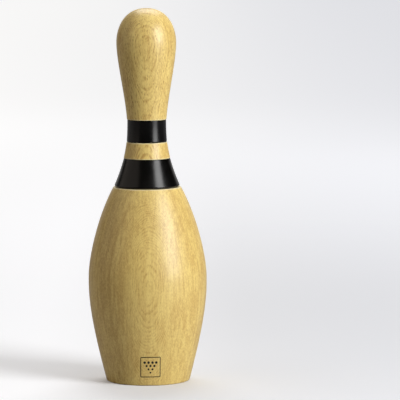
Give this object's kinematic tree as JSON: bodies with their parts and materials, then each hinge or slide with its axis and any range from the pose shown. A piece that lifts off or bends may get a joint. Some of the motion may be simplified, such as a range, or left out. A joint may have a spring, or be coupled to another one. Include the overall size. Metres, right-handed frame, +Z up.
{
  "type": "pepper mill",
  "caption": "Turned wooden pepper mill shaped like a bowling pin, with black neck bands, a turning lift-off head on a square shaft and an adjustable ceramic cone grinder.",
  "frame": {"origin": "centre of the foot ring, on the surface the mill stands on", "axes": "+Z up along the mill's axis; the housing screws start at +Y"},
  "size_m": [0.0886, 0.0886, 0.2792],
  "materials": {
    "beech": "satin oiled beech",
    "black_lacquer": "satin black lacquer",
    "black_plastic": "moulded, matt",
    "grinder_ceramic": "fired, unglazed",
    "steel": "drawn, brushed",
    "brass": "turned"
  },
  "bodies": {
    "body": {"body_shell": "beech", "neck_bush": "black_plastic", "grinder_housing": "black_plastic", "grinding_ring": "grinder_ceramic", "ring_retainer": "black_plastic", "bearing_spider": "black_plastic", "housing_screws": "steel"},
    "drive": {"drive_shaft": "steel", "shaft_collar": "steel", "collar_pin": "steel", "retaining_clip": "steel", "spring_washer": "steel", "cone_spring": "steel"},
    "cone": {"cone_carrier": "black_plastic", "grinding_cone": "grinder_ceramic", "feed_auger": "black_plastic"},
    "adjuster": {"adjusting_wheel": "black_plastic", "threaded_insert": "brass"},
    "head": {"knob": "beech", "neck_band": "black_lacquer", "neck_ring": "beech", "skirt_ring": "black_lacquer", "head_plug": "black_plastic", "plug_screws": "steel", "shaft_fork": "steel"}
  },
  "joints": [
    {"name": "head_turn", "type": "hinge", "parent": "body", "child": "drive", "pos_m": [0, 0, 0.042], "axis": [0, 0, 1], "continuous": true},
    {"name": "head_lift", "type": "slide", "parent": "drive", "child": "head", "axis": [0, 0, 1], "range_m": [0, 0.08]},
    {"name": "cone_lift", "type": "slide", "parent": "drive", "child": "cone", "axis": [0, 0, 1], "range_m": [-0.0008, 0.0008], "deforming": ["cone_spring"]},
    {"name": "adjust_turn", "type": "hinge", "parent": "cone", "child": "adjuster", "pos_m": [0, 0, 0.005], "axis": [0, 0, 1], "range_deg": [-360, 360]}
  ],
  "couplings": [
    {"joint": "adjust_turn", "follows": "cone_lift", "rad_per_m": 7853.9}
  ]
}
